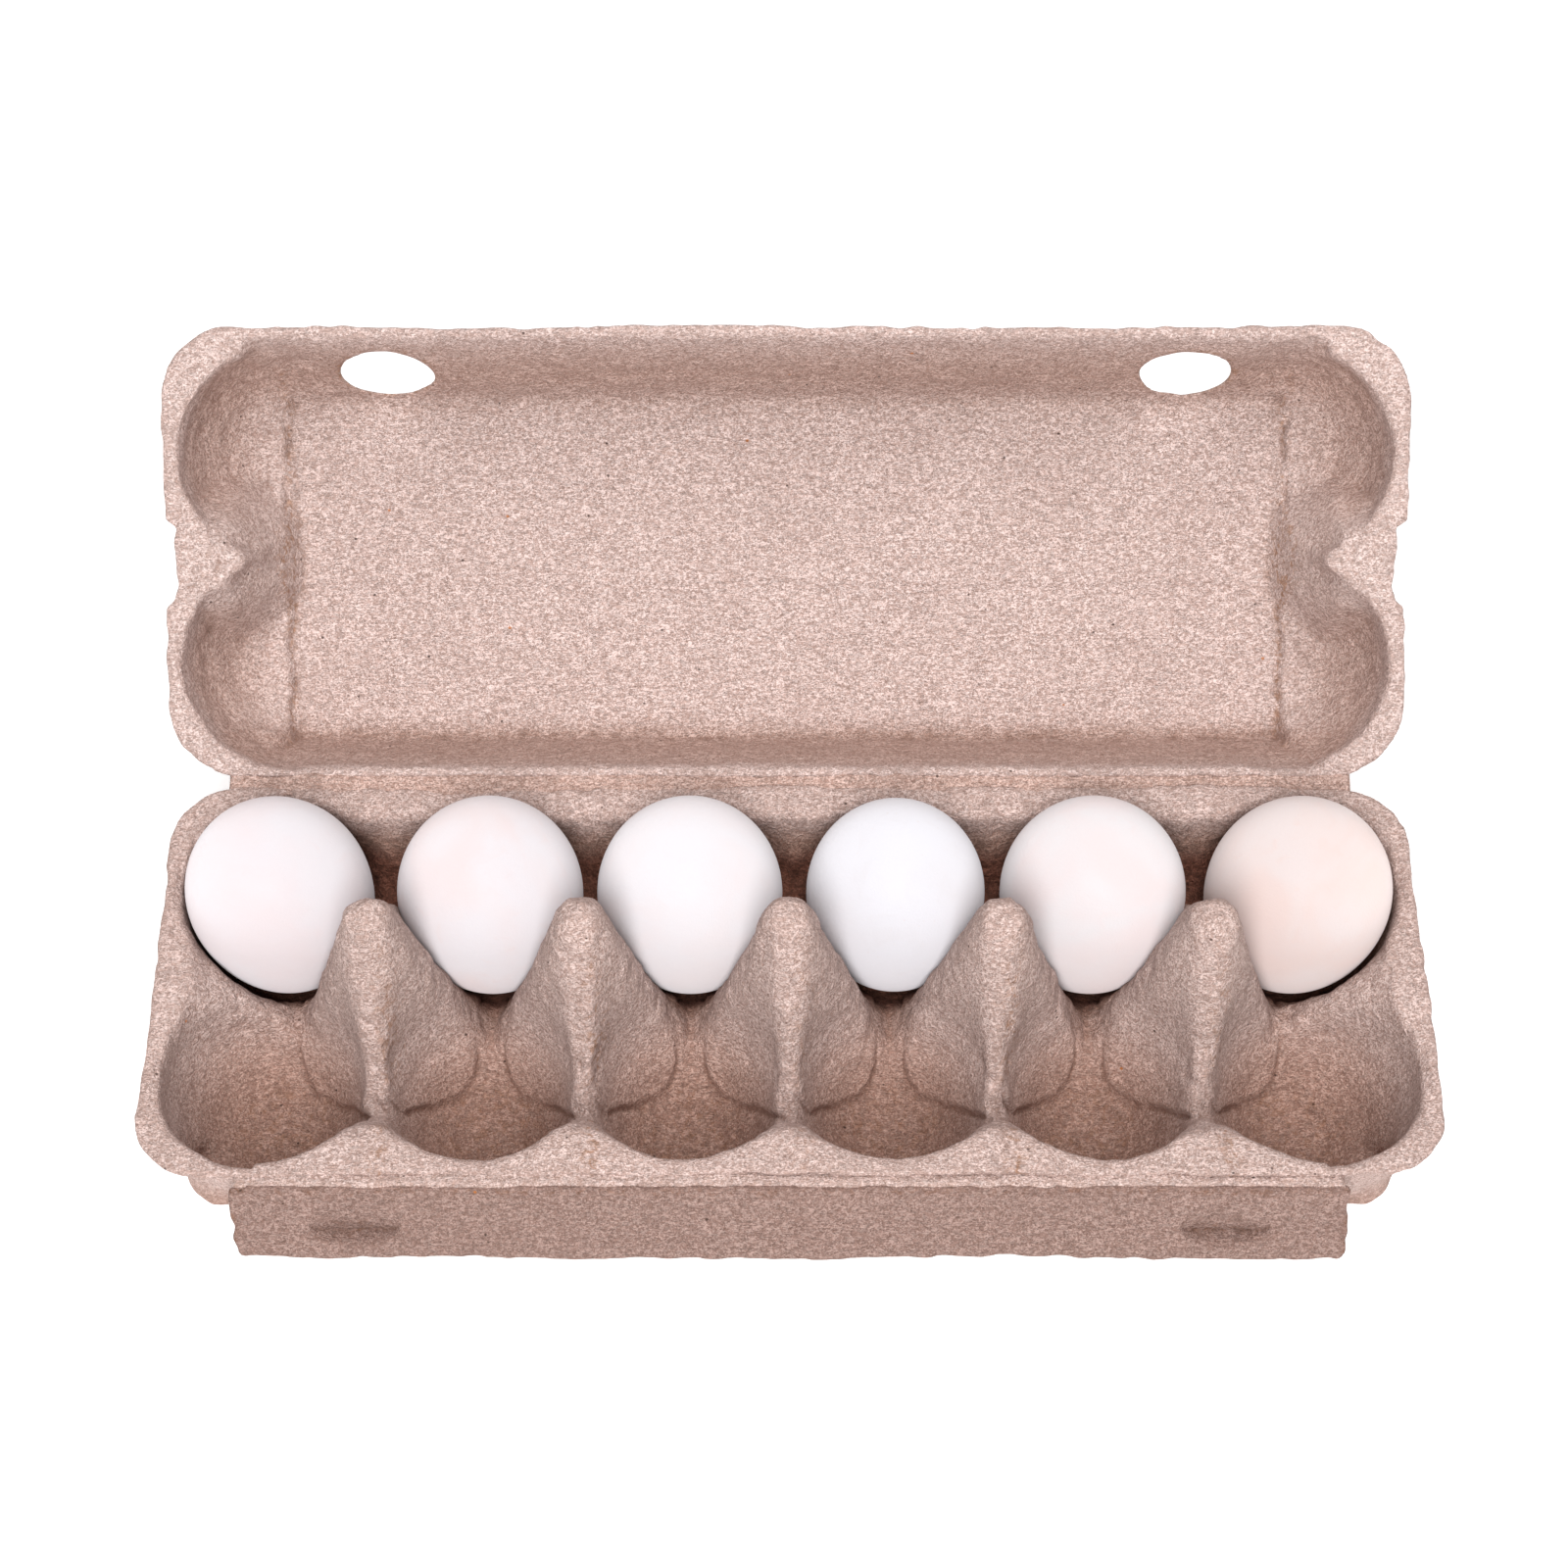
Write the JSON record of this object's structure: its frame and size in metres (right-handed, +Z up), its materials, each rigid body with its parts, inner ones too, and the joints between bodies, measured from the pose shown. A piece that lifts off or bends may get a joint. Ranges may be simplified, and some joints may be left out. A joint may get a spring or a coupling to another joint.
{
  "type": "egg carton",
  "caption": "Open moulded-pulp egg carton with two rows of cups, a hinged lid with lock holes, a button flap, and loose white eggs in its back row.",
  "frame": {"origin": "middle of the tray's base, on the plane that the carton stands on", "axes": "+X along the carton to the right, +Y back towards the lid's hinge, +Z up"},
  "size_m": [0.301, 0.2132, 0.1081],
  "materials": {
    "pulp": "matte",
    "eggshell": "satin"
  },
  "bodies": {
    "tray": {"egg_cell_front_1": "pulp", "egg_cell_front_2": "pulp", "egg_cell_front_3": "pulp", "egg_cell_front_4": "pulp", "egg_cell_front_5": "pulp", "egg_cell_front_6": "pulp", "egg_cell_back_1": "pulp", "egg_cell_back_2": "pulp", "egg_cell_back_3": "pulp", "egg_cell_back_4": "pulp", "egg_cell_back_5": "pulp", "egg_cell_back_6": "pulp", "lid_fold": "pulp", "flap_fold": "pulp"},
    "lid": {"lid_panel": "pulp", "lid_front_wall": "pulp", "lid_back_wall": "pulp", "lid_left_end": "pulp", "lid_right_end": "pulp"},
    "flap": {"lock_flap": "pulp"},
    "egg_1": {"egg_1": "eggshell"},
    "egg_2": {"egg_2": "eggshell"},
    "egg_3": {"egg_3": "eggshell"},
    "egg_4": {"egg_4": "eggshell"},
    "egg_5": {"egg_5": "eggshell"},
    "egg_6": {"egg_6": "eggshell"}
  },
  "joints": [
    {"name": "lid_hinge", "type": "hinge", "parent": "tray", "child": "lid", "pos_m": [0, 0.0528, 0.0402], "axis": [-1, 0, 0], "range_deg": [-141.8, 41]},
    {"name": "flap_hinge", "type": "hinge", "parent": "tray", "child": "flap", "pos_m": [0, -0.0528, 0.04], "axis": [1, 0, 0], "range_deg": [-169.6, 25]},
    {"name": "egg_1_lift", "type": "slide", "parent": "tray", "child": "egg_1", "axis": [0, 0, 1], "range_m": [0, 0.07]},
    {"name": "egg_2_lift", "type": "slide", "parent": "tray", "child": "egg_2", "axis": [0, 0, 1], "range_m": [0, 0.07]},
    {"name": "egg_3_lift", "type": "slide", "parent": "tray", "child": "egg_3", "axis": [0, 0, 1], "range_m": [0, 0.07]},
    {"name": "egg_4_lift", "type": "slide", "parent": "tray", "child": "egg_4", "axis": [0, 0, 1], "range_m": [0, 0.07]},
    {"name": "egg_5_lift", "type": "slide", "parent": "tray", "child": "egg_5", "axis": [0, 0, 1], "range_m": [0, 0.07]},
    {"name": "egg_6_lift", "type": "slide", "parent": "tray", "child": "egg_6", "axis": [0, 0, 1], "range_m": [0, 0.07]}
  ]
}
